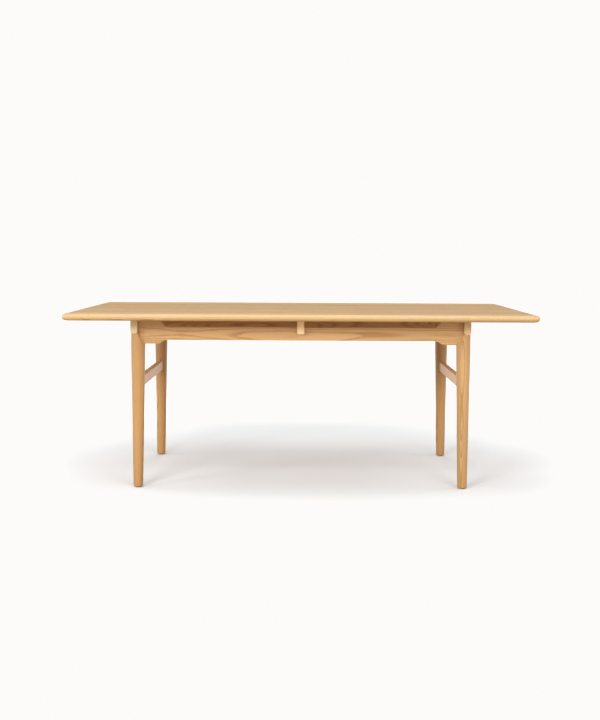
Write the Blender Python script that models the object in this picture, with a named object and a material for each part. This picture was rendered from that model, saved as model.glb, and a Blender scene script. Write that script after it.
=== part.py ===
"""Communion table: a glued oak top on three crossbars, two long rails and four turned legs.

Frame: the origin is on the floor under the middle of the top, +X along the table, +Y to its back
and +Z up, all in metres. Each piece is modelled once in a frame of its own. The leg, the rail, the
screws and the glide are copied to their mirror places by the sign of the object's scale.
"""

import math

import bmesh
import bpy
from mathutils import Matrix, Vector

# ---- driving dimensions -------------------------------------------------------------------------
TOP_LENGTH = 1.900
TOP_WIDTH = 0.950
TOP_THICKNESS = 0.028
HEIGHT = 0.720
BOARD_COUNT = 9
CORNER_RADIUS = 0.020  # of the top, seen from above
NOSE_RUN = 0.018  # how far the rounded edge of the top reaches in
GAP = 0.0003  # between pieces that touch

LEG_X = 0.665
LEG_Y = 0.334
LEG_RADIUS = 0.029
LEG_SLOPE = 0.018  # growth of the radius per metre of height, below the cylindrical part
TAPER_END = 0.539  # height where the taper would reach the full radius
TAPER_BLEND = 0.045  # half the height over which it gets there smoothly
FOOT_ROUND = 0.005

BAR_WIDTH = 0.0285
BAR_HEIGHT = 0.058
BAR_LENGTH = 0.732
BAR_ROUND = 0.006
JOINT_INSET = 0.0015  # from a leg's axis in to the face where the rail's end meets the crossbar

RAIL_THICKNESS = 0.024
RAIL_TOP = 0.661
RAIL_BOTTOM = 0.6065
RAIL_END_BOTTOM = 0.591
RAIL_NECK = 0.548  # where the slim middle of the rail ends
RAIL_BLOCK = 0.587  # where the deep end of the rail begins

RELIEF_TOP = 0.650  # the hollow where the leg's front runs into the rail's face
RELIEF_BOTTOM = 0.580
RELIEF_RADIUS = 0.014
RELIEF_RUN = 0.026

STRETCHER_BOTTOM = 0.405
STRETCHER_HEIGHT = 0.049
STRETCHER_THICKNESS = 0.023
STRETCHER_ROUND = 0.007
TENON_THICKNESS = 0.010
TENON_HEIGHT = 0.032
TENON_SHORT = 0.004  # how far the tenon stops before the leg's axis

GLIDE_RADIUS = 0.012
GLIDE_THICKNESS = 0.004
GLIDE_STANDOFF = 0.003
GLIDE_PIN_RADIUS = 0.0015
GLIDE_PIN_TOP = 0.020

SCREW_RADIUS = 0.0025
SCREW_TIP = 0.006
HEAD_RADIUS = 0.0048
HEAD_HEIGHT = 0.003
SOCKET_RADIUS = 0.0020
SOCKET_DEPTH = 0.0018
BORE_RADIUS = HEAD_RADIUS + 0.0012  # of the counterbore that a pan head sits in
HOLE_RADIUS = SCREW_RADIUS + GAP
TOP_SCREW_Y = (0.095, 0.285)
TOP_SCREW_LENGTH = 0.047
TOP_BORE_DEPTH = 0.028
SLOT_HALF_LENGTH = 0.004  # play for the top to swell and shrink across the bars
BAR_SCREW_LENGTH = 0.078
RAIL_SCREW_LENGTH = 0.026
RAIL_SCREW_INSET = 0.013
RAIL_SCREW_HEIGHTS = (0.612, 0.668)
RAIL_SCREW_SEAT = 0.020  # depth of the seat under the head, measured from the leg's axis

# ---- sizes that follow --------------------------------------------------------------------------
UNDERSIDE = HEIGHT - TOP_THICKNESS
FRAME_TOP = UNDERSIDE - GAP
BAR_BOTTOM = UNDERSIDE - BAR_HEIGHT
BAR_X = LEG_X - JOINT_INSET + BAR_WIDTH / 2
BAR_SCREW_END = (HOLE_RADIUS, BAR_SCREW_LENGTH - BAR_HEIGHT + GAP)  # its hole below the crossbar
RAIL_HALF = RAIL_THICKNESS / 2
BEYOND = 0.05  # how far a cutter reaches past what it cuts

LEG_SIDES = 28
GLIDE_SIDES = 12
SCREW_SIDES = 8
ARC_STEPS = 4
CURVE_STEPS = 6


# ---- meshes -------------------------------------------------------------------------------------
def new_object(name, bm):
    """An object in the scene with this bmesh, its faces turned outwards."""
    bmesh.ops.recalc_face_normals(bm, faces=bm.faces[:])
    mesh = bpy.data.meshes.new(name)
    bm.to_mesh(mesh)
    bm.free()
    obj = bpy.data.objects.new(name, mesh)
    bpy.context.scene.collection.objects.link(obj)
    return obj


def loft(rings):
    """A closed bmesh through rings of 3-D points, each with the same number of points."""
    bm = bmesh.new()
    rows = [[bm.verts.new(point) for point in ring] for ring in rings]
    for low, high in zip(rows, rows[1:]):
        for i in range(len(low)):
            j = (i + 1) % len(low)
            bm.faces.new((low[i], low[j], high[j], high[i]))
    bm.faces.new(rows[0])
    bm.faces.new(rows[-1])
    return bm


def prism(outline, low, high, axis):
    """The outline, pushed from low to high along the axis. It holds the other two axes' values in order."""
    def ring(at):
        return [Vector((*point[:axis], at, *point[axis:])) for point in outline]

    return loft([ring(low), ring(high)])


def turned(profile, sides):
    """The solid turned about Z from (radius, height) points; it starts and ends on the axis."""
    bm = bmesh.new()
    ends = [bm.verts.new((0, 0, profile[0][1])), bm.verts.new((0, 0, profile[-1][1]))]
    rows = []
    for radius, height in profile[1:-1]:
        turns = (2 * math.pi * (i + 0.5) / sides for i in range(sides))
        rows.append([bm.verts.new((radius * math.cos(a), radius * math.sin(a), height)) for a in turns])
    for i in range(sides):
        j = (i + 1) % sides
        bm.faces.new((ends[0], rows[0][j], rows[0][i]))
        bm.faces.new((ends[1], rows[-1][i], rows[-1][j]))
        for low, high in zip(rows, rows[1:]):
            bm.faces.new((low[i], low[j], high[j], high[i]))
    return bm


def arc(centre, radius, start, end, steps=ARC_STEPS):
    """Points on a circle's arc between two angles in degrees, both ends included."""
    angles = [math.radians(start + (end - start) * i / steps) for i in range(steps + 1)]
    return [(centre[0] + radius * math.cos(a), centre[1] + radius * math.sin(a)) for a in angles]


def smooth_step(t):
    return t * t * (3 - 2 * t)


def s_curve(start, end, steps=CURVE_STEPS):
    """Points from start to end that leave and arrive level, without the two ends themselves."""
    shares = [i / steps for i in range(1, steps)]
    return [(start[0] + (end[0] - start[0]) * t,
             start[1] + (end[1] - start[1]) * smooth_step(t)) for t in shares]


# ---- cutting ------------------------------------------------------------------------------------
def combined(obj, others, operation):
    """Cuts the other objects from obj, or joins them to it, and removes them."""
    for other in others:
        modifier = obj.modifiers.new(operation.title(), "BOOLEAN")
        modifier.operation = operation
        modifier.solver = "EXACT"
        modifier.object = other
    graph = bpy.context.evaluated_depsgraph_get()
    mesh = bpy.data.meshes.new_from_object(obj.evaluated_get(graph))
    obj.modifiers.clear()
    obj.data = mesh
    for other in others:
        bpy.data.objects.remove(other)


def box_cutter(low, high):
    corners = [(low[0], low[1]), (high[0], low[1]), (high[0], high[1]), (low[0], high[1])]
    return new_object("cutter", prism(corners, low[2], high[2], 2))


def hole_cutter(centre, steps, direction, sides=SCREW_SIDES):
    """A round cutter whose (radius, depth) steps go in from the centre of the mouth, in order."""
    profile = [(0, -BEYOND), (steps[0][0], -BEYOND)]
    for (radius, depth), (narrower, _) in zip(steps, steps[1:]):
        profile += [(radius, depth), (narrower, depth)]
    profile += [steps[-1], (0, steps[-1][1])]
    obj = new_object("cutter", turned(profile, sides))
    turn = Vector((0, 0, 1)).rotation_difference(Vector(direction)).to_matrix().to_4x4()
    obj.data.transform(Matrix.Translation(centre) @ turn)
    return obj


# ---- pieces, each in a frame of its own ---------------------------------------------------------
def top_slab():
    """The whole top with its rounded edge, centred on the origin in plan."""
    half_x = TOP_LENGTH / 2
    half_y = TOP_WIDTH / 2
    half_z = TOP_THICKNESS / 2

    def ring(turn):
        inset = NOSE_RUN * (1 - math.cos(turn))
        radius = CORNER_RADIUS
        outline = []
        for quarter, (sx, sy) in enumerate(((1, 1), (-1, 1), (-1, -1), (1, -1))):
            centre = (sx * (half_x - inset - radius), sy * (half_y - inset - radius))
            outline += arc(centre, radius, 90 * quarter, 90 * quarter + 90)
        height = HEIGHT - half_z + half_z * math.sin(turn)
        return [Vector((x, y, height)) for x, y in outline]

    count = 2 * ARC_STEPS
    turns = [math.radians(-90 + 180 * i / count) for i in range(count + 1)]
    return loft([ring(turn) for turn in turns])


def board(low_y, high_y):
    """The strip of the top between two lengthwise saw cuts."""
    bm = top_slab()
    for at, side in ((low_y, -1), (high_y, 1)):
        if abs(at) < TOP_WIDTH / 2:
            everything = bm.verts[:] + bm.edges[:] + bm.faces[:]
            bmesh.ops.bisect_plane(
                bm, geom=everything, plane_co=(0, at, 0), plane_no=(0, side, 0), clear_outer=True
            )
            open_edges = [edge for edge in bm.edges if edge.is_boundary]
            bmesh.ops.contextual_create(bm, geom=open_edges)
    return bm


def leg_radius(height):
    """The turned leg's radius: a straight taper that eases into a cylinder."""
    start = TAPER_END - TAPER_BLEND
    if height <= start:
        return LEG_RADIUS - LEG_SLOPE * (TAPER_END - height)
    if height >= TAPER_END + TAPER_BLEND:
        return LEG_RADIUS
    return LEG_RADIUS - LEG_SLOPE * (TAPER_END + TAPER_BLEND - height) ** 2 / (4 * TAPER_BLEND)


def leg_blank(grow=0.0):
    """The leg as it comes off the lathe, or the same shape a little larger."""
    foot = leg_radius(GLIDE_STANDOFF + FOOT_ROUND)
    centre = (foot - FOOT_ROUND, GLIDE_STANDOFF + FOOT_ROUND)
    profile = [(0, GLIDE_STANDOFF - grow)]
    profile += [(r + grow, z - grow) for r, z in arc(centre, FOOT_ROUND, -90, 0, 3)]
    blend = [TAPER_END + TAPER_BLEND * share for share in (-1, -0.4, 0.2, 1)]
    profile += [(leg_radius(z) + grow, z) for z in blend]
    profile += [(LEG_RADIUS + grow, FRAME_TOP), (0, FRAME_TOP)]
    return turned(profile, LEG_SIDES)


def relief_cutter():
    """The hollow that carries the leg's outer face into the rail's face.

    Seen from above it is a quadrant with a rounded corner. Going down, the corner grows rounder and
    moves along the rail until it leaves the leg.
    """
    far = 3 * LEG_RADIUS

    def ring(height, run, radius):
        near = -JOINT_INSET - run
        corner = arc((near - radius, RAIL_HALF + radius), radius, 0, -90)
        outline = [(near, far)] + corner + [(-far, RAIL_HALF), (-far, far)]
        return [Vector((x, y, height)) for x, y in outline]

    rings = [ring(FRAME_TOP + BEYOND, 0, GAP)]
    steps = 2 * CURVE_STEPS
    for i in range(steps + 1):
        share = i / steps
        height = RELIEF_TOP + (RELIEF_BOTTOM - RELIEF_TOP) * share
        radius = GAP + RELIEF_RADIUS * smooth_step(min(1, share / 0.6))
        rings.append(ring(height, RELIEF_RUN * share**1.8, radius))
    return new_object("cutter", loft(rings))


def leg_mesh():
    """The back right leg, about its own axis. Its outer half carries the crossbar and its inner
    half holds the rail, with a cheek left standing behind the rail."""
    far = 2 * LEG_RADIUS
    above = FRAME_TOP + BEYOND
    tenon = (TENON_THICKNESS / 2 + GAP, STRETCHER_BOTTOM + STRETCHER_HEIGHT / 2, TENON_HEIGHT / 2 + GAP)
    slot = RAIL_HALF + GAP
    glide = [(GLIDE_RADIUS + GAP, GLIDE_THICKNESS + GAP), (GLIDE_PIN_RADIUS + GAP, GLIDE_PIN_TOP + GAP)]
    cuts = [
        box_cutter((-JOINT_INSET - GAP, -far, BAR_BOTTOM - GAP), (far, far, above)),
        box_cutter((-far, -slot, RAIL_END_BOTTOM - GAP), (-JOINT_INSET, slot, above)),
        relief_cutter(),
        box_cutter((-tenon[0], -far, tenon[1] - tenon[2]), (tenon[0], GAP - TENON_SHORT, tenon[1] + tenon[2])),
        hole_cutter((0, 0, 0), glide, (0, 0, 1), GLIDE_SIDES),
        hole_cutter((BAR_X - LEG_X, 0, BAR_BOTTOM), [BAR_SCREW_END], (0, 0, -1)),
    ]
    for height in RAIL_SCREW_HEIGHTS:
        bore = [(BORE_RADIUS, LEG_RADIUS - RAIL_SCREW_SEAT), (HOLE_RADIUS, LEG_RADIUS)]
        cuts.append(hole_cutter((-RAIL_SCREW_INSET, -LEG_RADIUS, height), bore, (0, 1, 0)))
    leg = new_object("leg", leg_blank())
    combined(leg, cuts, "DIFFERENCE")
    return leg


def rail_outline():
    """The rail from the side, as X and Z: slim in the middle, deep at both ends, notched for the
    middle crossbar."""
    end = LEG_X - JOINT_INSET - GAP
    notch = BAR_WIDTH / 2 + GAP
    top = [(notch, BAR_BOTTOM - GAP), (notch, RAIL_TOP), (RAIL_NECK, RAIL_TOP)]
    top += s_curve((RAIL_NECK, RAIL_TOP), (RAIL_BLOCK, FRAME_TOP))
    top += [(RAIL_BLOCK, FRAME_TOP), (end, FRAME_TOP)]
    bottom = [(end, RAIL_END_BOTTOM), (RAIL_BLOCK, RAIL_END_BOTTOM)]
    bottom += s_curve((RAIL_BLOCK, RAIL_END_BOTTOM), (RAIL_NECK, RAIL_BOTTOM))
    bottom += [(RAIL_NECK, RAIL_BOTTOM)]
    half = top + bottom
    return half + [(-x, z) for x, z in reversed(half)]


def rail_mesh():
    """The back rail, centred on its own thickness."""
    rail = new_object("rail", prism(rail_outline(), -RAIL_HALF, RAIL_HALF, 1))
    depth = RAIL_SCREW_LENGTH - (RAIL_SCREW_SEAT - RAIL_HALF) + GAP
    cuts = [hole_cutter((0, 0, BAR_BOTTOM), [BAR_SCREW_END], (0, 0, -1))]
    for side in (-1, 1):
        for height in RAIL_SCREW_HEIGHTS:
            mouth = (side * (LEG_X - RAIL_SCREW_INSET), -RAIL_HALF, height)
            cuts.append(hole_cutter(mouth, [(HOLE_RADIUS, depth)], (0, 1, 0)))
    combined(rail, cuts, "DIFFERENCE")
    return rail


def slot_cutter(centre_y):
    """A slot with round ends for a top screw: wide from below to the screw's seat, narrow above."""
    def ring(radius, height):
        outline = arc((0, centre_y + SLOT_HALF_LENGTH), radius, 0, 180)
        outline += arc((0, centre_y - SLOT_HALF_LENGTH), radius, 180, 360)
        return [Vector((x, y, height)) for x, y in outline]

    seat = BAR_BOTTOM + TOP_BORE_DEPTH
    rings = [ring(BORE_RADIUS, BAR_BOTTOM - BEYOND), ring(BORE_RADIUS, seat)]
    rings += [ring(HOLE_RADIUS, seat), ring(HOLE_RADIUS, HEIGHT)]
    return new_object("cutter", loft(rings))


def crossbar_mesh():
    """A crossbar, centred in plan, with its lower long edges rounded."""
    half = BAR_WIDTH / 2
    inner = half - BAR_ROUND
    low = BAR_BOTTOM + BAR_ROUND
    outline = [(half, FRAME_TOP), (-half, FRAME_TOP)]
    outline += arc((-inner, low), BAR_ROUND, 180, 270)
    outline += arc((inner, low), BAR_ROUND, 270, 360)
    bar = new_object("crossbar", prism(outline, -BAR_LENGTH / 2, BAR_LENGTH / 2, 1))
    cuts = []
    for side in (-1, 1):
        cuts += [slot_cutter(side * y) for y in TOP_SCREW_Y]
        steps = [(HEAD_RADIUS + GAP, HEAD_HEIGHT + 2 * GAP), (HOLE_RADIUS, BAR_HEIGHT + BEYOND)]
        cuts.append(hole_cutter((0, side * LEG_Y, FRAME_TOP), steps, (0, 0, -1)))
    combined(bar, cuts, "DIFFERENCE")
    return bar


def stretcher_mesh():
    """The bar between a front and a back leg, fitted round both and tenoned into them."""
    half_x = STRETCHER_THICKNESS / 2
    half_z = STRETCHER_HEIGHT / 2
    middle = STRETCHER_BOTTOM + half_z
    radius = STRETCHER_ROUND
    outline = []
    for quarter, (sx, sz) in enumerate(((1, 1), (-1, 1), (-1, -1), (1, -1))):
        centre = (sx * (half_x - radius), middle + sz * (half_z - radius))
        outline += arc(centre, radius, 90 * quarter, 90 * quarter + 90)
    stretcher = new_object("stretcher", prism(outline, -LEG_Y, LEG_Y, 1))
    legs = []
    for side in (-1, 1):
        legs.append(new_object("cutter", leg_blank(GAP)))
        legs[-1].data.transform(Matrix.Translation((0, side * LEG_Y, 0)))
    combined(stretcher, legs, "DIFFERENCE")
    reach = LEG_Y - TENON_SHORT
    tenon = box_cutter((-TENON_THICKNESS / 2, -reach, middle - TENON_HEIGHT / 2),
                       (TENON_THICKNESS / 2, reach, middle + TENON_HEIGHT / 2))
    combined(stretcher, [tenon], "UNION")
    return stretcher


def screw_mesh(length):
    """A pan-head wood screw that points up Z, with the underside of its head at Z = 0."""
    profile = [
        (0, SOCKET_DEPTH - HEAD_HEIGHT),
        (SOCKET_RADIUS, SOCKET_DEPTH - HEAD_HEIGHT),
        (SOCKET_RADIUS, -HEAD_HEIGHT),
        (HEAD_RADIUS * 0.8, -HEAD_HEIGHT),
        (HEAD_RADIUS, -HEAD_HEIGHT * 0.5),
        (HEAD_RADIUS, 0),
        (SCREW_RADIUS, 0),
        (SCREW_RADIUS, length - SCREW_TIP),
        (0, length),
    ]
    return new_object("screw", turned(profile, SCREW_SIDES))


def glide_mesh():
    """A nail-on glide: a disc with a rounded rim under the foot, and the pin it is driven in by."""
    rim = 0.0015
    profile = [(0, 0), (GLIDE_RADIUS - rim, 0), (GLIDE_RADIUS, rim), (GLIDE_RADIUS, GLIDE_THICKNESS)]
    profile += [(GLIDE_PIN_RADIUS, GLIDE_THICKNESS), (GLIDE_PIN_RADIUS, GLIDE_PIN_TOP - 0.002)]
    profile += [(0, GLIDE_PIN_TOP)]
    return new_object("glide", turned(profile, GLIDE_SIDES))


# ---- materials ----------------------------------------------------------------------------------
def material(name, colour, roughness, metallic=0.0):
    made = bpy.data.materials.new(name)
    made.use_nodes = True
    shader = made.node_tree.nodes["Principled BSDF"]
    shader.inputs["Base Color"].default_value = (*colour, 1)
    shader.inputs["Roughness"].default_value = roughness
    shader.inputs["Metallic"].default_value = metallic
    return made


# ---- assembly -----------------------------------------------------------------------------------
def place(name, source, location, finish, scale=(1, 1, 1), turn=(0, 0, 0)):
    """A named copy of a finished piece, which shares the piece's mesh."""
    obj = bpy.data.objects.new(name, source.data)
    bpy.context.scene.collection.objects.link(obj)
    obj.location = location
    obj.scale = scale
    obj.rotation_euler = turn
    if not source.data.materials:
        source.data.materials.append(finish)
    return obj


def make_top(finish):
    """The boards from front to back, each drilled for the screws that come up into it."""
    pitch = (TOP_WIDTH + GAP) / BOARD_COUNT
    for number in range(BOARD_COUNT):
        low = -TOP_WIDTH / 2 + number * pitch
        high = low + pitch - GAP
        made = new_object(f"top_board_{number + 1}", board(low, high))
        holes = []
        for x in (-BAR_X, 0, BAR_X):
            for y in (side * at for side in (-1, 1) for at in TOP_SCREW_Y):
                if low < y < high:
                    depth = BAR_BOTTOM + TOP_BORE_DEPTH + TOP_SCREW_LENGTH - UNDERSIDE + GAP
                    holes.append(hole_cutter((x, y, UNDERSIDE), [(HOLE_RADIUS, depth)], (0, 0, 1)))
        if holes:
            combined(made, holes, "DIFFERENCE")
        made.data.materials.append(finish)


def make_corners(finish, nylon, steel):
    """The legs with their glides and the screws that hold the rails."""
    leg = leg_mesh()
    glide = glide_mesh()
    screw = screw_mesh(RAIL_SCREW_LENGTH)
    for front, sy in (("front", -1), ("back", 1)):
        for left, sx in (("left", -1), ("right", 1)):
            corner = f"{front}_{left}"
            foot = (sx * LEG_X, sy * LEG_Y, 0)
            place(f"leg_{corner}", leg, foot, finish, (sx, sy, 1))
            place(f"glide_{corner}", glide, foot, nylon)
            for level, height in zip(("low", "high"), RAIL_SCREW_HEIGHTS):
                at = (sx * (LEG_X - RAIL_SCREW_INSET), sy * (LEG_Y - RAIL_SCREW_SEAT - GAP), height)
                turn = (-sy * math.pi / 2, 0, 0)
                place(f"rail_screw_{corner}_{level}", screw, at, steel, (1, 1, 1), turn)
    for source in (leg, glide, screw):
        bpy.data.objects.remove(source)


def make_rails_and_stretchers(finish):
    rail = rail_mesh()
    place("rail_front", rail, (0, -LEG_Y, 0), finish, (1, -1, 1))
    place("rail_back", rail, (0, LEG_Y, 0), finish)
    stretcher = stretcher_mesh()
    place("stretcher_left", stretcher, (-LEG_X, 0, 0), finish)
    place("stretcher_right", stretcher, (LEG_X, 0, 0), finish)
    for source in (rail, stretcher):
        bpy.data.objects.remove(source)


def make_crossbars(finish, steel):
    """The crossbars, the long screws down through them and the screws up into the top."""
    bar = crossbar_mesh()
    long_screw = screw_mesh(BAR_SCREW_LENGTH - HEAD_HEIGHT)
    top_screw = screw_mesh(TOP_SCREW_LENGTH)
    for name, x in (("left", -BAR_X), ("middle", 0), ("right", BAR_X)):
        place(f"crossbar_{name}", bar, (x, 0, 0), finish)
        for front, side in (("front", -1), ("back", 1)):
            head = (x, side * LEG_Y, FRAME_TOP - HEAD_HEIGHT - GAP)
            place(f"bar_screw_{name}_{front}", long_screw, head, steel, (1, 1, 1), (math.pi, 0, 0))
            for row, y in zip(("inner", "outer"), TOP_SCREW_Y):
                seat = (x, side * y, BAR_BOTTOM + TOP_BORE_DEPTH - GAP)
                place(f"top_screw_{name}_{front}_{row}", top_screw, seat, steel)
    for source in (bar, long_screw, top_screw):
        bpy.data.objects.remove(source)


def main():
    for obj in list(bpy.data.objects):
        bpy.data.objects.remove(obj)
    oak_top = material("oak_top", (0.60, 0.40, 0.22), 0.5)
    oak_frame = material("oak_frame", (0.60, 0.37, 0.19), 0.5)
    steel = material("screw_steel", (0.55, 0.54, 0.52), 0.35, 1.0)
    nylon = material("glide_nylon", (0.55, 0.52, 0.46), 0.6)
    make_top(oak_top)
    make_corners(oak_frame, nylon, steel)
    make_rails_and_stretchers(oak_frame)
    make_crossbars(oak_frame, steel)


main()
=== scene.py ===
"""Looks of the communion table: an oiled solid oak table on a pale studio floor.

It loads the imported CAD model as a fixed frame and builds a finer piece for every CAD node, in the
same place. Sizes come from the frame's boxes. Those a box can't give, such as the taper of a leg,
are the dimensions below, in metres.
"""

import math

import bmesh
import bpy
from mathutils import Matrix, Vector


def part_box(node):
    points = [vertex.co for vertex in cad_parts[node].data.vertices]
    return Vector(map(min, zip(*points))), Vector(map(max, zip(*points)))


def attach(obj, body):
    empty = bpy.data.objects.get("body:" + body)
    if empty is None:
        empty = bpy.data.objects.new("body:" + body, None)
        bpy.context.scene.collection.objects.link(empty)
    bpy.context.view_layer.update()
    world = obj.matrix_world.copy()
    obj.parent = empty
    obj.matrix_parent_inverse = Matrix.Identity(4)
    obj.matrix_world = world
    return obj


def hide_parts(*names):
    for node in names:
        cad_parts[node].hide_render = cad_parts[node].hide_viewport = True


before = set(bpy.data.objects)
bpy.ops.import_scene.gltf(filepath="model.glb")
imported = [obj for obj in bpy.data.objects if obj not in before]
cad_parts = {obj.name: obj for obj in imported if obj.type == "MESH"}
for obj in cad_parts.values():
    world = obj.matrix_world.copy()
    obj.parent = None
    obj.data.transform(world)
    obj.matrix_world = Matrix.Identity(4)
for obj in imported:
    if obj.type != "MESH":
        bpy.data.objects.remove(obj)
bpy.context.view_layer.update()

# ---- dimensions that the frame's boxes don't give -----------------------------------------------
CORNER_RADIUS = 0.020  # of the top, seen from above
NOSE_RUN = 0.018  # how far the rounded edge of the top reaches in
BOARD_GAP = 0.00002  # taken off each side of a board at the glue lines

LEG_SLOPE = 0.018  # growth of the radius per metre of height, below the cylindrical part
TAPER_END = 0.539  # height where the taper would reach the full radius
TAPER_BLEND = 0.045  # half the height over which it gets there smoothly
FOOT_ROUND = 0.005
JOINT_INSET = 0.0015  # from a leg's axis in to the face where the rail's end meets the crossbar
GAP = 0.0003  # between pieces that touch

RELIEF_TOP = 0.650  # the hollow where the leg's front runs into the rail's face
RELIEF_BOTTOM = 0.580
RELIEF_RADIUS = 0.014
RELIEF_RUN = 0.026
RELIEF_SWELL = 0.6  # share of the way down by which the hollow's corner is fully round
RELIEF_POWER = 1.8  # how late on the way down the corner moves along the rail

RAIL_TOP = 0.661
RAIL_BOTTOM = 0.6065
RAIL_NECK = 0.548  # where the slim middle of the rail ends
RAIL_BLOCK = 0.587  # where the deep end of the rail begins
RAIL_EASE = 0.0016  # of its long edges

BAR_ROUND = 0.008  # of its lower long edges
BAR_EASE = 0.0012  # of its ends
STRETCHER_ROUND = 0.007
TENON_THICKNESS = 0.010
TENON_HEIGHT = 0.032

GLIDE_RADIUS = 0.012
GLIDE_THICKNESS = 0.004
GLIDE_PIN_RADIUS = 0.0015
GLIDE_RIM = 0.0015

SCREW_RADIUS = 0.0025
SCREW_CORE = 0.0018
SCREW_PITCH = 0.0024
SCREW_TIP = 0.006
SCREW_SIDES = 24
THREAD_START = 0.35  # share of the shank's length that stays plain
THREAD_SHARE = 0.3  # half the ridge's width, as a share of the pitch
THREAD_ROWS = 8  # rows of points for each turn
HEAD_RADIUS = 0.0048
HEAD_HEIGHT = 0.003
HEAD_FLAT = 0.6  # share of the head's radius that is flat on top
HEAD_SIDE = 0.35  # share of the head's height that has a straight side
HEAD_ARC_START = -80  # degrees, where the round edge between the two leaves the flat
RECESS_DEPTH = 0.0017
RECESS_ARM = 0.0026
RECESS_WIDTH = 0.0009
BORE_RADIUS = HEAD_RADIUS + 0.0012
HOLE_RADIUS = SCREW_RADIUS + GAP
TOP_SCREW_Y = (0.095, 0.285)
TOP_BORE_DEPTH = 0.028
SLOT_HALF_LENGTH = 0.004
RAIL_SCREW_INSET = 0.013
RAIL_SCREW_HEIGHTS = (0.612, 0.668)
RAIL_SCREW_SEAT = 0.020  # depth of the seat under the head, measured from the leg's axis
BEYOND = 0.05  # how far a cutter reaches past what it cuts

# ---- sizes from the frame -----------------------------------------------------------------------
BOARDS = sorted(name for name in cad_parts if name.startswith("top_board_"))
TOP_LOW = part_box(BOARDS[0])[0]
TOP_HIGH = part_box(BOARDS[-1])[1]
LEG_LOW, LEG_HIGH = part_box("leg_back_right")
LEG_X = (LEG_LOW.x + LEG_HIGH.x) / 2
LEG_Y = (LEG_LOW.y + LEG_HIGH.y) / 2
LEG_RADIUS = (LEG_HIGH.x - LEG_LOW.x) / 2
RAIL_LOW, RAIL_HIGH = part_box("rail_back")
RAIL_HALF = (RAIL_HIGH.y - RAIL_LOW.y) / 2
BAR_LOW, BAR_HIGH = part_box("crossbar_middle")
BAR_X = (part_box("crossbar_right")[0].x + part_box("crossbar_right")[1].x) / 2
STRETCHER_LOW, STRETCHER_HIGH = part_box("stretcher_right")

LEG_SIDES = 96
SMALL_SIDES = 40
ARC_STEPS = 12
SMALL_ARC_STEPS = 6
CURVE_STEPS = 24
TAPER_STEPS = 10
EASE_STEPS = 3
SHARP_ANGLE = 32  # degrees between two faces, above which the edge is drawn sharp


# ---- meshes -------------------------------------------------------------------------------------
def new_object(name, bm):
    """An object in the scene with this bmesh, its faces turned outwards."""
    bmesh.ops.recalc_face_normals(bm, faces=bm.faces[:])
    mesh = bpy.data.meshes.new(name)
    bm.to_mesh(mesh)
    bm.free()
    obj = bpy.data.objects.new(name, mesh)
    bpy.context.scene.collection.objects.link(obj)
    return obj


def loft(rings):
    """A closed bmesh through rings of 3-D points, each with the same number of points."""
    bm = bmesh.new()
    rows = [[bm.verts.new(point) for point in ring] for ring in rings]
    for low, high in zip(rows, rows[1:]):
        for i in range(len(low)):
            j = (i + 1) % len(low)
            bm.faces.new((low[i], low[j], high[j], high[i]))
    bm.faces.new(rows[0])
    bm.faces.new(rows[-1])
    return bm


def prism(outline, low, high, axis):
    """The outline, which holds the other two axes' values in order, pushed from low to high along
    the axis."""
    def ring(at):
        return [Vector((*point[:axis], at, *point[axis:])) for point in outline]

    return loft([ring(low), ring(high)])


def turned(profile, sides):
    """The solid turned about Z from (radius, height) points; it starts and ends on the axis."""
    bm = bmesh.new()
    ends = [bm.verts.new((0, 0, profile[0][1])), bm.verts.new((0, 0, profile[-1][1]))]
    rows = []
    for radius, height in profile[1:-1]:
        turns = (2 * math.pi * (i + 0.5) / sides for i in range(sides))
        rows.append([bm.verts.new((radius * math.cos(a), radius * math.sin(a), height)) for a in turns])
    for i in range(sides):
        j = (i + 1) % sides
        bm.faces.new((ends[0], rows[0][j], rows[0][i]))
        bm.faces.new((ends[1], rows[-1][i], rows[-1][j]))
        for low, high in zip(rows, rows[1:]):
            bm.faces.new((low[i], low[j], high[j], high[i]))
    return bm


def arc(centre, radius, start, end, steps=ARC_STEPS):
    """Points on a circle's arc between two angles in degrees, both ends included."""
    angles = [math.radians(start + (end - start) * i / steps) for i in range(steps + 1)]
    return [(centre[0] + radius * math.cos(a), centre[1] + radius * math.sin(a)) for a in angles]


def smooth_step(t):
    return t * t * (3 - 2 * t)


def s_curve(start, end):
    """Points from start to end that leave and arrive level, without the two ends themselves."""
    shares = [i / CURVE_STEPS for i in range(1, CURVE_STEPS)]
    return [(start[0] + (end[0] - start[0]) * t,
             start[1] + (end[1] - start[1]) * smooth_step(t)) for t in shares]


def eased(bm, width, chosen):
    """Rounds the edges for which chosen(edge) is true."""
    edges = [edge for edge in bm.edges if chosen(edge)]
    bmesh.ops.bevel(bm, geom=edges, offset=width, segments=EASE_STEPS, profile=0.5,
                    affect="EDGES", clamp_overlap=True)
    return bm


# ---- cutting ------------------------------------------------------------------------------------
def evaluated_mesh(obj):
    graph = bpy.context.evaluated_depsgraph_get()
    return bpy.data.meshes.new_from_object(obj.evaluated_get(graph))


def combined(obj, others, operation):
    """Cuts the other objects from obj, or joins them to it, and removes them."""
    for other in others:
        modifier = obj.modifiers.new(operation.title(), "BOOLEAN")
        modifier.operation = operation
        modifier.solver = "EXACT"
        modifier.object = other
    mesh = evaluated_mesh(obj)
    obj.modifiers.clear()
    obj.data = mesh
    for other in others:
        bpy.data.objects.remove(other)


def box_cutter(low, high):
    corners = [(low[0], low[1]), (high[0], low[1]), (high[0], high[1]), (low[0], high[1])]
    return new_object("cutter", prism(corners, low[2], high[2], 2))


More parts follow.
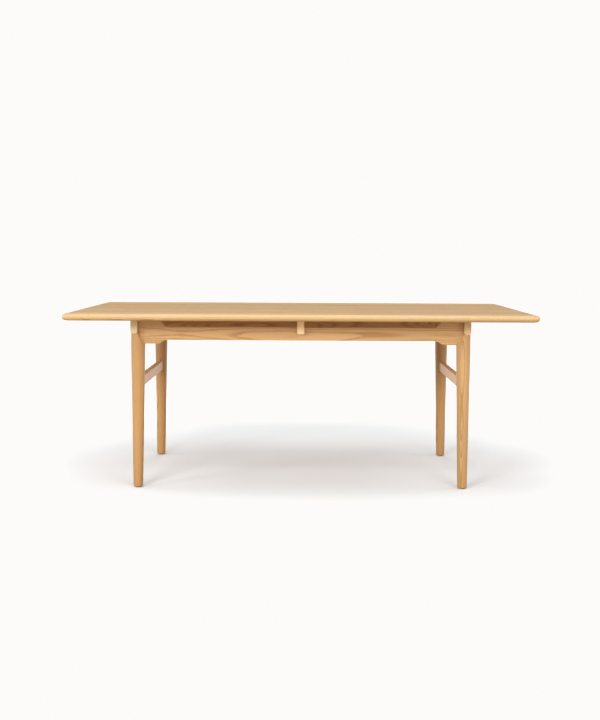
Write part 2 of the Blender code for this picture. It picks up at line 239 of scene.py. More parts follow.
def hole_cutter(centre, steps, direction):
    """A round cutter whose (radius, depth) steps go in from the centre of the mouth, in order."""
    profile = [(0, -BEYOND), (steps[0][0], -BEYOND)]
    for (radius, depth), (narrower, _) in zip(steps, steps[1:]):
        profile += [(radius, depth), (narrower, depth)]
    profile += [steps[-1], (0, steps[-1][1])]
    obj = new_object("cutter", turned(profile, SMALL_SIDES))
    turn = Vector((0, 0, 1)).rotation_difference(Vector(direction)).to_matrix().to_4x4()
    obj.data.transform(Matrix.Translation(centre) @ turn)
    return obj


# ---- pieces, each in a frame of its own ---------------------------------------------------------
def top_slab():
    """The whole top with its rounded edge, centred on the origin in plan."""
    half_x = TOP_HIGH.x
    half_y = TOP_HIGH.y
    half_z = (TOP_HIGH.z - TOP_LOW.z) / 2

    def ring(turn):
        inset = NOSE_RUN * (1 - math.cos(turn))
        outline = []
        for quarter, (sx, sy) in enumerate(((1, 1), (-1, 1), (-1, -1), (1, -1))):
            centre = (sx * (half_x - inset - CORNER_RADIUS), sy * (half_y - inset - CORNER_RADIUS))
            outline += arc(centre, CORNER_RADIUS, 90 * quarter, 90 * quarter + 90)
        height = TOP_LOW.z + half_z + half_z * math.sin(turn)
        return [Vector((x, y, height)) for x, y in outline]

    count = 2 * ARC_STEPS
    turns = [math.radians(-90 + 180 * i / count) for i in range(count + 1)]
    return loft([ring(turn) for turn in turns])


def board(low_y, high_y):
    """The strip of the top between two lengthwise glue lines."""
    bm = top_slab()
    for at, side in ((low_y, -1), (high_y, 1)):
        if abs(at) < TOP_HIGH.y - GAP:
            everything = bm.verts[:] + bm.edges[:] + bm.faces[:]
            bmesh.ops.bisect_plane(
                bm, geom=everything, plane_co=(0, at, 0), plane_no=(0, side, 0), clear_outer=True
            )
            open_edges = [edge for edge in bm.edges if edge.is_boundary]
            bmesh.ops.contextual_create(bm, geom=open_edges)
    return bm


def leg_radius(height):
    """The turned leg's radius: a straight taper that eases into a cylinder."""
    start = TAPER_END - TAPER_BLEND
    if height <= start:
        return LEG_RADIUS - LEG_SLOPE * (TAPER_END - height)
    if height >= TAPER_END + TAPER_BLEND:
        return LEG_RADIUS
    return LEG_RADIUS - LEG_SLOPE * (TAPER_END + TAPER_BLEND - height) ** 2 / (4 * TAPER_BLEND)


def leg_blank(grow=0.0):
    """The leg as it comes off the lathe, or the same shape a little larger."""
    foot = leg_radius(LEG_LOW.z + FOOT_ROUND)
    centre = (foot - FOOT_ROUND, LEG_LOW.z + FOOT_ROUND)
    profile = [(0, LEG_LOW.z - grow)]
    profile += [(r + grow, z - grow) for r, z in arc(centre, FOOT_ROUND, -90, 0, SMALL_ARC_STEPS)]
    blend = [TAPER_END + TAPER_BLEND * (2 * i / TAPER_STEPS - 1) for i in range(TAPER_STEPS + 1)]
    profile += [(leg_radius(z) + grow, z) for z in blend]
    profile += [(LEG_RADIUS + grow, LEG_HIGH.z), (0, LEG_HIGH.z)]
    return turned(profile, LEG_SIDES)


def relief_cutter():
    """The hollow that carries the leg's outer face into the rail's face.

    Seen from above it is a quadrant with a rounded corner. Going down, the corner grows rounder and
    moves along the rail until it leaves the leg.
    """
    far = 3 * LEG_RADIUS

    def ring(height, run, radius):
        near = -JOINT_INSET - run
        corner = arc((near - radius, RAIL_HALF + radius), radius, 0, -90)
        outline = [(near, far)] + corner + [(-far, RAIL_HALF), (-far, far)]
        return [Vector((x, y, height)) for x, y in outline]

    rings = [ring(LEG_HIGH.z + BEYOND, 0, GAP)]
    steps = 2 * CURVE_STEPS
    for i in range(steps + 1):
        share = i / steps
        height = RELIEF_TOP + (RELIEF_BOTTOM - RELIEF_TOP) * share
        radius = GAP + RELIEF_RADIUS * smooth_step(min(1, share / RELIEF_SWELL))
        rings.append(ring(height, RELIEF_RUN * share**RELIEF_POWER, radius))
    return new_object("cutter", loft(rings))


def leg_mesh():
    """The back right leg, about its own axis. Its outer half carries the crossbar and its inner
    half holds the rail, with a cheek left standing behind the rail."""
    far = 2 * LEG_RADIUS
    above = LEG_HIGH.z + BEYOND
    stretcher_middle = (STRETCHER_LOW.z + STRETCHER_HIGH.z) / 2
    tenon = (TENON_THICKNESS / 2 + GAP, stretcher_middle, TENON_HEIGHT / 2 + GAP)
    slot = RAIL_HALF + GAP
    tenon_end = STRETCHER_HIGH.y - LEG_Y + GAP
    cuts = [
        box_cutter((-JOINT_INSET - GAP, -far, BAR_LOW.z - GAP), (far, far, above)),
        box_cutter((-far, -slot, RAIL_LOW.z - GAP), (-JOINT_INSET, slot, above)),
        relief_cutter(),
        box_cutter((-tenon[0], -far, tenon[1] - tenon[2]), (tenon[0], tenon_end, tenon[1] + tenon[2])),
        hole_cutter((0, 0, 0), [(GLIDE_RADIUS + GAP, GLIDE_THICKNESS + GAP)], (0, 0, 1)),
    ]
    for height in RAIL_SCREW_HEIGHTS:
        bore = [(BORE_RADIUS, LEG_RADIUS - RAIL_SCREW_SEAT), (HOLE_RADIUS, LEG_RADIUS)]
        cuts.append(hole_cutter((-RAIL_SCREW_INSET, -LEG_RADIUS, height), bore, (0, 1, 0)))
    leg = new_object("leg", leg_blank())
    combined(leg, cuts, "DIFFERENCE")
    return leg


def rail_outline():
    """The rail from the side, as X and Z: slim in the middle, deep at both ends, notched for the
    middle crossbar."""
    end = RAIL_HIGH.x
    notch = BAR_HIGH.x + GAP
    top = [(notch, BAR_LOW.z - GAP), (notch, RAIL_TOP), (RAIL_NECK, RAIL_TOP)]
    top += s_curve((RAIL_NECK, RAIL_TOP), (RAIL_BLOCK, RAIL_HIGH.z))
    top += [(RAIL_BLOCK, RAIL_HIGH.z), (end, RAIL_HIGH.z)]
    bottom = [(end, RAIL_LOW.z), (RAIL_BLOCK, RAIL_LOW.z)]
    bottom += s_curve((RAIL_BLOCK, RAIL_LOW.z), (RAIL_NECK, RAIL_BOTTOM))
    bottom += [(RAIL_NECK, RAIL_BOTTOM)]
    half = top + bottom
    return half + [(-x, z) for x, z in reversed(half)]


def rail_mesh():
    """The back rail, centred on its own thickness, with its long edges eased."""
    def is_long_edge(edge):
        a, b = (vert.co for vert in edge.verts)
        on_face = abs(a.y - b.y) < GAP
        in_joint = abs(a.x - b.x) < GAP or max(abs(a.x), abs(b.x)) < 2 * BAR_HIGH.x
        at_end = max(abs(a.x), abs(b.x)) > RAIL_HIGH.x + GAP
        return on_face and not in_joint and not at_end

    bm = prism(rail_outline(), -RAIL_HALF, RAIL_HALF, 1)
    return new_object("rail", eased(bm, RAIL_EASE, is_long_edge))


def slot_cutter(centre_y):
    """A slot with round ends for a top screw: wide from below to the screw's seat, narrow above."""
    def ring(radius, height):
        outline = arc((0, centre_y + SLOT_HALF_LENGTH), radius, 0, 180)
        outline += arc((0, centre_y - SLOT_HALF_LENGTH), radius, 180, 360)
        return [Vector((x, y, height)) for x, y in outline]

    seat = BAR_LOW.z + TOP_BORE_DEPTH
    rings = [ring(BORE_RADIUS, BAR_LOW.z - BEYOND), ring(BORE_RADIUS, seat)]
    rings += [ring(HOLE_RADIUS, seat), ring(HOLE_RADIUS, TOP_HIGH.z)]
    return new_object("cutter", loft(rings))


def crossbar_mesh():
    """A crossbar, centred in plan, with its lower long edges rounded and its ends eased."""
    half = BAR_HIGH.x
    inner = half - BAR_ROUND
    low = BAR_LOW.z + BAR_ROUND
    outline = [(half, BAR_HIGH.z), (-half, BAR_HIGH.z)]
    outline += arc((-inner, low), BAR_ROUND, 180, 270)
    outline += arc((inner, low), BAR_ROUND, 270, 360)

    def is_end_edge(edge):
        return all(abs(abs(vert.co.y) - BAR_HIGH.y) < GAP for vert in edge.verts)

    bm = prism(outline, BAR_LOW.y, BAR_HIGH.y, 1)
    bar = new_object("crossbar", eased(bm, BAR_EASE, is_end_edge))
    cuts = []
    for side in (-1, 1):
        cuts += [slot_cutter(side * y) for y in TOP_SCREW_Y]
        steps = [(HEAD_RADIUS + GAP, HEAD_HEIGHT + 2 * GAP), (HOLE_RADIUS, 2 * BEYOND)]
        cuts.append(hole_cutter((0, side * LEG_Y, BAR_HIGH.z), steps, (0, 0, -1)))
    combined(bar, cuts, "DIFFERENCE")
    return bar


def stretcher_mesh():
    """The bar between a front and a back leg, fitted round both and tenoned into them."""
    half_x = (STRETCHER_HIGH.x - STRETCHER_LOW.x) / 2
    half_z = (STRETCHER_HIGH.z - STRETCHER_LOW.z) / 2
    middle = (STRETCHER_HIGH.z + STRETCHER_LOW.z) / 2
    outline = []
    for quarter, (sx, sz) in enumerate(((1, 1), (-1, 1), (-1, -1), (1, -1))):
        centre = (sx * (half_x - STRETCHER_ROUND), middle + sz * (half_z - STRETCHER_ROUND))
        outline += arc(centre, STRETCHER_ROUND, 90 * quarter, 90 * quarter + 90)
    stretcher = new_object("stretcher", prism(outline, -LEG_Y, LEG_Y, 1))
    legs = []
    for side in (-1, 1):
        legs.append(new_object("cutter", leg_blank(GAP / 3)))
        legs[-1].data.transform(Matrix.Translation((0, side * LEG_Y, 0)))
    combined(stretcher, legs, "DIFFERENCE")
    reach = STRETCHER_HIGH.y
    tenon = box_cutter((-TENON_THICKNESS / 2, -reach, middle - TENON_HEIGHT / 2),
                       (TENON_THICKNESS / 2, reach, middle + TENON_HEIGHT / 2))
    combined(stretcher, [tenon], "UNION")
    return stretcher


def cut_thread(screw, start, end):
    """Raises a helical ridge on the rows of a turned shank between two heights."""
    for vert in screw.data.vertices:
        x, y, height = vert.co
        radius = math.hypot(x, y)
        if start < height < end and radius > 0:
            turn = (height / SCREW_PITCH - math.atan2(y, x) / (2 * math.pi)) % 1
            ridge = max(0, 1 - abs(turn - 0.5) / THREAD_SHARE)
            run_out = min(1, (height - start) / SCREW_PITCH, (end - height) / SCREW_PITCH)
            grown = radius + (SCREW_RADIUS - SCREW_CORE) * ridge * run_out
            vert.co = (x * grown / radius, y * grown / radius, height)


def screw_mesh(length):
    """A pan-head wood screw that points up Z, with the underside of its head at Z = 0."""
    flat = HEAD_RADIUS * HEAD_FLAT
    profile = [(0, -HEAD_HEIGHT), (flat, -HEAD_HEIGHT)]
    profile += arc((flat, -HEAD_HEIGHT * HEAD_SIDE), HEAD_RADIUS - flat, HEAD_ARC_START, 0,
                   SMALL_ARC_STEPS)
    profile = [(radius, max(-HEAD_HEIGHT, height)) for radius, height in profile]
    profile += [(HEAD_RADIUS, 0), (SCREW_CORE, 0)]
    start = length * THREAD_START
    rows = math.ceil((length - start) / SCREW_PITCH * THREAD_ROWS)
    for i in range(rows):
        height = start + (length - start) * i / rows
        profile.append((SCREW_CORE * min(1, (length - height) / SCREW_TIP), height))
    profile.append((0, length))
    screw = new_object("screw", turned(profile, SCREW_SIDES))
    cut_thread(screw, start, length)
    arm, width = RECESS_ARM, RECESS_WIDTH
    floor = RECESS_DEPTH - HEAD_HEIGHT
    recess = [box_cutter((-arm, -width / 2, -BEYOND), (arm, width / 2, floor)),
              box_cutter((-width / 2, -arm, -BEYOND), (width / 2, arm, floor))]
    combined(screw, recess, "DIFFERENCE")
    return screw


def glide_mesh():
    """A nail-on glide: a disc with a rounded rim under the foot, and its pin."""
    pin_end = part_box("glide_back_right")[1].z
    rim = arc((GLIDE_RADIUS - GLIDE_RIM, GLIDE_RIM), GLIDE_RIM, -90, 0, SMALL_ARC_STEPS)
    profile = [(0, 0)] + rim + [(GLIDE_RADIUS, GLIDE_THICKNESS), (GLIDE_PIN_RADIUS, GLIDE_THICKNESS)]
    profile += [(GLIDE_PIN_RADIUS, pin_end - 2 * GLIDE_PIN_RADIUS), (0, pin_end)]
    return new_object("glide", turned(profile, SMALL_SIDES))


# ---- materials ----------------------------------------------------------------------------------
class Graph:
    """The nodes of one material or node group, made in the order in which they compute."""

    def __init__(self, tree):
        self.tree = tree

    def node(self, kind, inputs=(), **settings):
        made = self.tree.nodes.new(kind)
        for name, value in settings.items():
            setattr(made, name, value)
        for key, value in dict(inputs).items():
            if isinstance(value, bpy.types.NodeSocket):
                self.tree.links.new(value, made.inputs[key])
            else:
                made.inputs[key].default_value = value
        return made

    def math(self, operation, *values):
        return self.node("ShaderNodeMath", dict(enumerate(values)), operation=operation).outputs[0]

    def vector_math(self, operation, *values):
        made = self.node("ShaderNodeVectorMath", dict(enumerate(values)), operation=operation)
        return made.outputs[0]

    def scaled(self, vector, factors):
        return self.vector_math("MULTIPLY", vector, factors)

    def noise(self, vector, detail=2.0, roughness=0.5, channel="Fac"):
        inputs = {"Vector": vector, "Scale": 1.0, "Detail": detail, "Roughness": roughness}
        return self.node("ShaderNodeTexNoise", inputs).outputs[channel]

    def ramp(self, value, low, high):
        """Smoothly from 0 below low to 1 above high."""
        inputs = {"Value": value, "From Min": low, "From Max": high}
        return self.node("ShaderNodeMapRange", inputs, interpolation_type="SMOOTHSTEP").outputs[0]

    def mix(self, share, a, b):
        """The colour a where share is 0, and b where it is 1. These sockets share their names with
        others of the node, so they go by number."""
        return self.node("ShaderNodeMix", {0: share, 6: a, 7: b}, data_type="RGBA").outputs[2]

    def mix_numbers(self, share, a, b):
        """The same with plain numbers."""
        return self.node("ShaderNodeMix", {0: share, 2: a, 3: b}).outputs[0]

    def spread(self, value, width, middle=0.0):
        """A noise, which stays around a half, turned into values around the middle."""
        return self.math("MULTIPLY_ADD", value, width, middle - width / 2)

    def surface(self, **inputs):
        """Ends the graph in a Principled surface. An input's spaces are written as underscores."""
        inputs = {key.replace("_", " "): value for key, value in inputs.items()}
        shader = self.node("ShaderNodeBsdfPrincipled", inputs)
        self.node("ShaderNodeOutputMaterial", {"Surface": shader.outputs[0]})


def blank_material(name):
    """A material with an empty node tree, and the graph that fills it."""
    made = bpy.data.materials.new(name)
    made.use_nodes = True
    made.node_tree.nodes.clear()
    return made, Graph(made.node_tree)


LATEWOOD = (0.729, 0.447, 0.174, 1)
EARLYWOOD = (0.573, 0.310, 0.105, 1)
PORE = (0.292, 0.143, 0.045, 1)
RAY = (0.745, 0.471, 0.188, 1)
# End grain is painted lighter than the side grain: a painted highlight for the light that the
# crossbars' protruding ends catch.
LIT_END_GRAIN = (0.980, 0.750, 0.440, 1)
RAY_SHARE, PORE_SHARE, LIT_END_SHARE = 0.35, 0.75, 0.8  # how strongly those colours show
END_FACING = (0.55, 0.95)  # how squarely a face has to cut the grain to show its end
FIBRE_SHADE, CLOUD_SHADE = 0.20, 0.36  # how much they lighten and darken the wood
OAK_ROUGHNESS, PORE_ROUGHNESS, FIBRE_ROUGHNESS = 0.34, 0.25, 0.16
PORE_HEIGHT, FIBRE_HEIGHT, RING_HEIGHT = -1.0, 0.35, -0.15  # as shares of the bump

# A scale is the cells of a noise in a metre, along the grain and the two ways across it. An edge is
# two values of a noise: where a pore or a ray begins, and where it shows in full.
BROAD_SCALE, BROAD_REACH = (1.6, 5, 5), (0, 0.040, 0.040)  # how the rings wander, and how far
FINE_SCALE, FINE_REACH = (9, 40, 40), (0, 0.0025, 0.0025)
RINGS_PER_METRE = 330
YEARS_SCALE = 55  # of the noise that makes runs of wide and of narrow rings
YEARS_DRIFT = 3.6  # how many rings it shifts them by
YEAR_START = (0.0, 0.05)  # shares of a year's growth over which its porous wood sets in
EARLY_END = (0.12, 0.52)  # and over which it thins out
PORE_SCALE, PORE_EDGE = (130, 2600, 2600), (0.60, 0.68)
PORES_EARLY, PORES_EVERYWHERE = 0.85, 0.15  # how many lie in the porous wood, and in all of it
RAY_SCALE, RAY_EDGE = (42, 190, 75), (0.63, 0.70)  # along the log, round it and outwards
FIBRE_SCALE = (22, 760, 760)
CLOUD_SCALE = (1.3, 19, 19)

STEEL_DARK, STEEL_LIGHT = (0.46, 0.46, 0.47, 1), (0.66, 0.65, 0.62, 1)
STEEL_BLOTCHES, STEEL_MARKS = (420, 420, 420), (9000, 9000, 9000)
STEEL_ROUGHNESS, STEEL_SPREAD = 0.33, 0.18
NYLON_DARK, NYLON_LIGHT = (0.44, 0.40, 0.34, 1), (0.56, 0.52, 0.45, 1)
NYLON_HAZE, NYLON_GRIT = (160, 160, 160), (3500, 3500, 3500)
NYLON_ROUGHNESS, NYLON_SPREAD = 0.55, 0.2


def wood_figure():
    """The node group for oak as a solid: rings about the pith, pores, rays and fibres.

    It takes grain coordinates in metres, X along the grain and the pith on the X axis.
    """
    group = bpy.data.node_groups.new("oak_figure", "ShaderNodeTree")
    sockets = group.interface
    sockets.new_socket("Grain", in_out="INPUT", socket_type="NodeSocketVector")
    for name in ("Ring", "Pore", "Ray", "Fibre", "Cloud"):
        sockets.new_socket(name, in_out="OUTPUT", socket_type="NodeSocketFloat")
    g = Graph(group)
    grain = g.node("NodeGroupInput").outputs["Grain"]

    bent = grain
    for scale, reach, detail in ((BROAD_SCALE, BROAD_REACH, 1), (FINE_SCALE, FINE_REACH, 2)):
        wander = g.noise(g.scaled(grain, scale), detail, channel="Color")
        wander = g.vector_math("SUBTRACT", wander, (0.5, 0.5, 0.5))
        bent = g.vector_math("ADD", bent, g.scaled(wander, reach))
    parts = g.node("ShaderNodeSeparateXYZ", {0: bent}).outputs
    across = g.node("ShaderNodeCombineXYZ", {"Y": parts[1], "Z": parts[2]}).outputs[0]
    radius = g.node("ShaderNodeVectorMath", {0: across}, operation="LENGTH").outputs["Value"]

    outwards = g.math("MULTIPLY", radius, YEARS_SCALE)
    years = g.noise(g.node("ShaderNodeCombineXYZ", {"X": outwards}).outputs[0], 1)
    rings = g.math("MULTIPLY_ADD", radius, RINGS_PER_METRE, g.spread(years, YEARS_DRIFT))
    phase = g.math("FRACT", rings)
    early = g.math("SUBTRACT", 1, g.ramp(phase, *EARLY_END))
    ring = g.math("MULTIPLY", early, g.ramp(phase, *YEAR_START))

    streaks = g.noise(g.scaled(bent, PORE_SCALE), 1)
    crowding = g.math("MULTIPLY_ADD", ring, PORES_EARLY, PORES_EVERYWHERE)
    open_pores = g.math("MULTIPLY", g.ramp(streaks, *PORE_EDGE), crowding)
    angle = g.math("ARCTAN2", parts[2], parts[1])
    log_place = g.node("ShaderNodeCombineXYZ", {"X": parts[0], "Y": angle, "Z": radius}).outputs[0]
    rays = g.ramp(g.noise(g.scaled(log_place, RAY_SCALE), 1), *RAY_EDGE)
    fibre = g.noise(g.scaled(bent, FIBRE_SCALE), 3, 0.6)
    cloud = g.noise(g.scaled(bent, CLOUD_SCALE), 3)

    outputs = {"Ring": ring, "Pore": open_pores, "Ray": rays, "Fibre": fibre, "Cloud": cloud}
    g.node("NodeGroupOutput", outputs)
    return group


def oak(name, figure, axis, pith, tone_and_light):
    """Oiled oak with its grain along an axis (0, 1 or 2) and its pith at an offset in metres from
    the table's origin, given as along the grain and the two ways across it. The last argument
    scales this piece's colour: partly its own tone, partly painted light and shade that lighten,
    darken or whiten the piece to how lit it looks."""
    made, g = blank_material(name)
    place = g.node("ShaderNodeTexCoord").outputs["Object"]
    place = g.node("ShaderNodeSeparateXYZ", {0: place}).outputs
    order = (axis, (axis + 1) % 3, (axis + 2) % 3)
    turned_place = g.node("ShaderNodeCombineXYZ", {i: place[order[i]] for i in range(3)}).outputs[0]
    grain = g.vector_math("SUBTRACT", turned_place, pith)
    ring, pore, ray, fibre, cloud = g.node("ShaderNodeGroup", {0: grain}, node_tree=figure).outputs

    normal = g.node("ShaderNodeNewGeometry").outputs["Normal"]
    facing = g.math("ABSOLUTE", g.node("ShaderNodeSeparateXYZ", {0: normal}).outputs[axis])
    end = g.ramp(facing, *END_FACING)
    colour = g.mix(ring, LATEWOOD, EARLYWOOD)
    colour = g.mix(g.math("MULTIPLY", ray, RAY_SHARE), colour, RAY)
    # Painted light: end faces take the lighter end-grain colour, for the light that the crossbars' ends
    # catch.
    colour = g.mix(g.math("MULTIPLY", end, LIT_END_SHARE), colour, LIT_END_GRAIN)
    colour = g.mix(g.math("MULTIPLY", pore, PORE_SHARE), colour, PORE)
    shade = g.math("ADD", g.spread(fibre, FIBRE_SHADE, 1), g.spread(cloud, CLOUD_SHADE))
    grey = g.node("ShaderNodeCombineXYZ", {0: shade, 1: shade, 2: shade}).outputs[0]
    # The last argument scales the colour here: painted light and shade as well as the piece's own tone.
    colour = g.scaled(g.scaled(colour, grey), tone_and_light)

    roughness = g.math("MULTIPLY_ADD", pore, PORE_ROUGHNESS, OAK_ROUGHNESS)
    roughness = g.math("ADD", roughness, g.spread(fibre, FIBRE_ROUGHNESS))
    height = g.math("MULTIPLY_ADD", pore, PORE_HEIGHT, g.math("MULTIPLY", fibre, FIBRE_HEIGHT))
    height = g.math("MULTIPLY_ADD", ring, RING_HEIGHT, height)
    bump = g.node("ShaderNodeBump", {"Strength": 0.55, "Distance": 0.00012, "Height": height})
    g.surface(Base_Color=colour, Roughness=roughness, Normal=bump.outputs[0],
              IOR=1.62, Specular_IOR_Level=0.8)
    return made


def steel():
    """Zinc-plated steel with fine turning marks and faint blotches."""
    made, g = blank_material("screw_steel_plated")
    place = g.node("ShaderNodeTexCoord").outputs["Object"]
    blotch = g.noise(g.scaled(place, STEEL_BLOTCHES), 3)
    marks = g.noise(g.scaled(place, STEEL_MARKS), 1)
    roughness = g.spread(marks, STEEL_SPREAD, STEEL_ROUGHNESS)
    bump = g.node("ShaderNodeBump", {"Strength": 0.2, "Distance": 0.00002, "Height": marks})
    g.surface(Base_Color=g.mix(blotch, STEEL_DARK, STEEL_LIGHT), Roughness=roughness,
              Normal=bump.outputs[0], Metallic=1.0)
    return made


def nylon():
    """Warm grey nylon with a moulded grain."""
    made, g = blank_material("glide_nylon_moulded")
    place = g.node("ShaderNodeTexCoord").outputs["Object"]
    haze = g.noise(g.scaled(place, NYLON_HAZE), 2)
    grit = g.noise(g.scaled(place, NYLON_GRIT), 2)
    roughness = g.spread(grit, NYLON_SPREAD, NYLON_ROUGHNESS)
    bump = g.node("ShaderNodeBump", {"Strength": 0.4, "Distance": 0.00005, "Height": grit})
    g.surface(Base_Color=g.mix(haze, NYLON_DARK, NYLON_LIGHT), Roughness=roughness,
              Normal=bump.outputs[0])
    return made


# ---- assembly -----------------------------------------------------------------------------------
def finished(obj, material, slot, *nodes):
    """Smooth shading that keeps the flats flat, the material, and the ties to the frame."""
    mesh = obj.data
    mesh.polygons.foreach_set("use_smooth", [True] * len(mesh.polygons))
    mesh.set_sharp_from_angle(angle=math.radians(SHARP_ANGLE))
    weighted = obj.modifiers.new("Weighted", "WEIGHTED_NORMAL")
    weighted.keep_sharp = True
    obj.data = evaluated_mesh(obj)
    obj.modifiers.clear()
    obj.data.name = obj.name
    obj.data.materials.clear()
    obj.data.materials.append(material)
    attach(obj, "root")
    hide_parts(*nodes)


def placed(name, source, location, scale=(1, 1, 1), turn=None):
    """A copy of source with its own mesh, moved to its place, mirrored where scale is negative."""
    mesh = source.data.copy()
    matrix = Matrix.Translation(location) @ Matrix.Diagonal((*scale, 1))
    if turn is not None:
        matrix = matrix @ turn
    mesh.transform(matrix)
    if matrix.determinant() < 0:
        mesh.flip_normals()
    obj = bpy.data.objects.new(name, mesh)
    bpy.context.scene.collection.objects.link(obj)
    return obj


def make_top(figure):
    """The boards from front to back, each cut from another place in the log."""
    piths = ((0.3, 0.02, 0.07), (1.9, -0.05, -0.11), (-0.7, 0.03, 0.16), (2.8, 0.00, 0.09),
             (-2.2, 0.05, -0.14), (0.9, -0.03, 0.12), (3.7, 0.04, 0.08), (-1.4, -0.02, -0.17),
             (5.1, 0.01, 0.10))
    # The front board's tint whitens it, a painted highlight along the rounded front edge. The others
    # vary the tone from board to board, and the back one is lighter.
    tones_and_light = ((1.03, 1.16, 1.46), (0.96, 0.96, 0.96), (1.03, 1.02, 1.02), (1.00, 0.99, 0.98),
             (0.95, 0.94, 0.93), (1.05, 1.04, 1.03), (0.90, 0.89, 0.87), (1.06, 1.05, 1.04),
             (1.12, 1.12, 1.12))
    for name, pith, tone_and_light in zip(BOARDS, piths, tones_and_light):
        low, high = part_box(name)
        middle = (low.y + high.y) / 2
        half = (high.y - low.y + GAP) / 2 - BOARD_GAP
        made = new_object(name + "_fine", board(middle - half, middle + half))
        at = (pith[0], middle + pith[1], TOP_HIGH.z + pith[2])
        finished(made, oak(f"oak_{name}", figure, 0, at, tone_and_light), "oak_top", name)


def make_legs(figure):
    leg = leg_mesh()
    piths = {"front_left": (0.4, -0.10, 0.02), "front_right": (1.3, 0.03, 0.12),
             "back_left": (2.6, -0.08, -0.06), "back_right": (-0.9, 0.11, 0.04)}
    # Each leg's tint is painted light and shade: it darkens or whitens the leg to how lit it looks.
    tones_and_light = {"front_left": (0.94, 0.89, 0.91), "front_right": (0.99, 1.00, 1.09),
             "back_left": (0.97, 0.93, 0.92), "back_right": (0.96, 0.92, 0.93)}
    for corner, pith in piths.items():
        sx = 1 if corner.endswith("right") else -1
        sy = 1 if corner.startswith("back") else -1
        name = f"leg_{corner}"
        made = placed(name + "_fine", leg, (sx * LEG_X, sy * LEG_Y, 0), (sx, sy, 1))
        at = (pith[0], sx * LEG_X + pith[1], sy * LEG_Y + pith[2])
        finished(made, oak(f"oak_{name}", figure, 2, at, tones_and_light[corner]), "oak_frame", name)
    bpy.data.objects.remove(leg)


def make_rails(figure):
    rail = rail_mesh()
    # The front rail's tint whitens it, a painted highlight on its lit face. The back rail's tint
    # darkens and browns it, painted shade in the slot under the top.
    cuts = (("rail_front", -1, (0.6, 0.058, -0.030), (1.03, 1.06, 1.22)),
            ("rail_back", 1, (2.1, -0.070, -0.035), (0.87, 0.76, 0.58)))
    for name, side, pith, tone_and_light in cuts:
        made = placed(name + "_fine", rail, (0, side * LEG_Y, 0), (1, side, 1))
        at = (pith[0], side * LEG_Y + pith[1], RAIL_TOP + pith[2])
        finished(made, oak(f"oak_{name}", figure, 0, at, tone_and_light), "oak_frame", name)
    bpy.data.objects.remove(rail)


def make_crossbars(figure):
    bar = crossbar_mesh()
    # The tints are painted light and shade: the left and middle bars are lightened where their ends
    # catch the light, and the right one is darkened on the side away from it.
    cuts = (("crossbar_left", -BAR_X, (0.2, 0.03, 0.09), (0.99, 1.08, 1.21)),
            ("crossbar_middle", 0, (1.1, -0.05, -0.07), (1.22, 1.23, 1.25)),
            ("crossbar_right", BAR_X, (2.3, 0.08, 0.02), (0.95, 0.93, 0.92)))
    for name, x, pith, tone_and_light in cuts:
        made = placed(name + "_fine", bar, (x, 0, 0))
        at = (pith[0], BAR_HIGH.z + pith[1], x + pith[2])
        finished(made, oak(f"oak_{name}", figure, 1, at, tone_and_light), "oak_frame", name)
    bpy.data.objects.remove(bar)


def make_stretchers(figure):
    stretcher = stretcher_mesh()
    # This tint is a painted sheen: it lightens the stretchers to how bright their inner faces look with
    # the light glancing off them.
    tone_and_light = (1.42, 1.34, 1.14)
    cuts = (("stretcher_left", -LEG_X, (0.5, 0.06, 0.07)),
            ("stretcher_right", LEG_X, (1.7, -0.07, 0.05)))
    for name, x, pith in cuts:
        made = placed(name + "_fine", stretcher, (x, 0, 0))
        at = (pith[0], STRETCHER_LOW.z + pith[1], x + pith[2])
        finished(made, oak(f"oak_{name}", figure, 1, at, tone_and_light), "oak_frame", name)
    bpy.data.objects.remove(stretcher)


def make_screw(name, material):
    """A screw as long as its node: up into the top, down into the frame or out into a rail."""
    low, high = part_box(name)
    at = (low + high) / 2
    turn = None
    if name.startswith("top_screw_"):
        at.z = low.z + HEAD_HEIGHT
    elif name.startswith("bar_screw_"):
        at.z = high.z - HEAD_HEIGHT
        turn = Matrix.Rotation(math.pi, 4, "X")
    elif at.y > 0:
        at.y = low.y + HEAD_HEIGHT
        turn = Matrix.Rotation(-math.pi / 2, 4, "X")
    else:
        at.y = high.y - HEAD_HEIGHT
        turn = Matrix.Rotation(math.pi / 2, 4, "X")
    screw = screw_mesh(max(end - start for start, end in zip(low, high)) - HEAD_HEIGHT)
    made = placed(name + "_fine", screw, at, turn=turn)
    bpy.data.objects.remove(screw)
    finished(made, material, "screw_steel", name)


def make_hardware():
    """The screws and the glides, each kind in one material."""
    plating, plastic = steel(), nylon()
    glide = glide_mesh()
    for name in sorted(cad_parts):
        if "_screw_" in name:
            make_screw(name, plating)
        elif name.startswith("glide_"):
            low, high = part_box(name)
            middle = (low + high) / 2
            made = placed(name + "_fine", glide, (middle.x, middle.y, 0))
            finished(made, plastic, "glide_nylon", name)
    bpy.data.objects.remove(glide)


# ---- floor, light and camera --------------------------------------------------------------------
FLOOR_HALF = 60
FLOOR_WHITE = (0.950, 0.977, 0.998, 1)  # as the camera sees it
FLOOR_BOUNCE = (0.31, 0.195, 0.085, 1)  # in the light that it throws back at the table
FLOOR_GLOSS = (0.28, 0.26, 0.24, 1)  # in the table's reflections
FAR_FROM, FAR_TO = 0.9, 2.3  # distances from the table's middle over which the glow below sets in
FAR_GLOW = 0.45  # light that the far floor adds, so that it meets the wall unseen
FAR_BOUNCE = 0.34  # the same, in the light that it throws back at the table
FAR_GLOSS = 0.85  # the same, in reflections of the floor behind the table
WALL_WHITE = 1.1  # as the camera sees it
ROOM_LIGHT = 0.66  # in the light that it gives the table and the floor
WALL_GLOSS = 0.33  # in reflections of the room behind the table; in front of it the room is dark
DARK_SIDE = 0.3  # that change takes place over directions with a Y from minus this to this
PRINT_WHITE = (0.972, 0.965, 0.948)
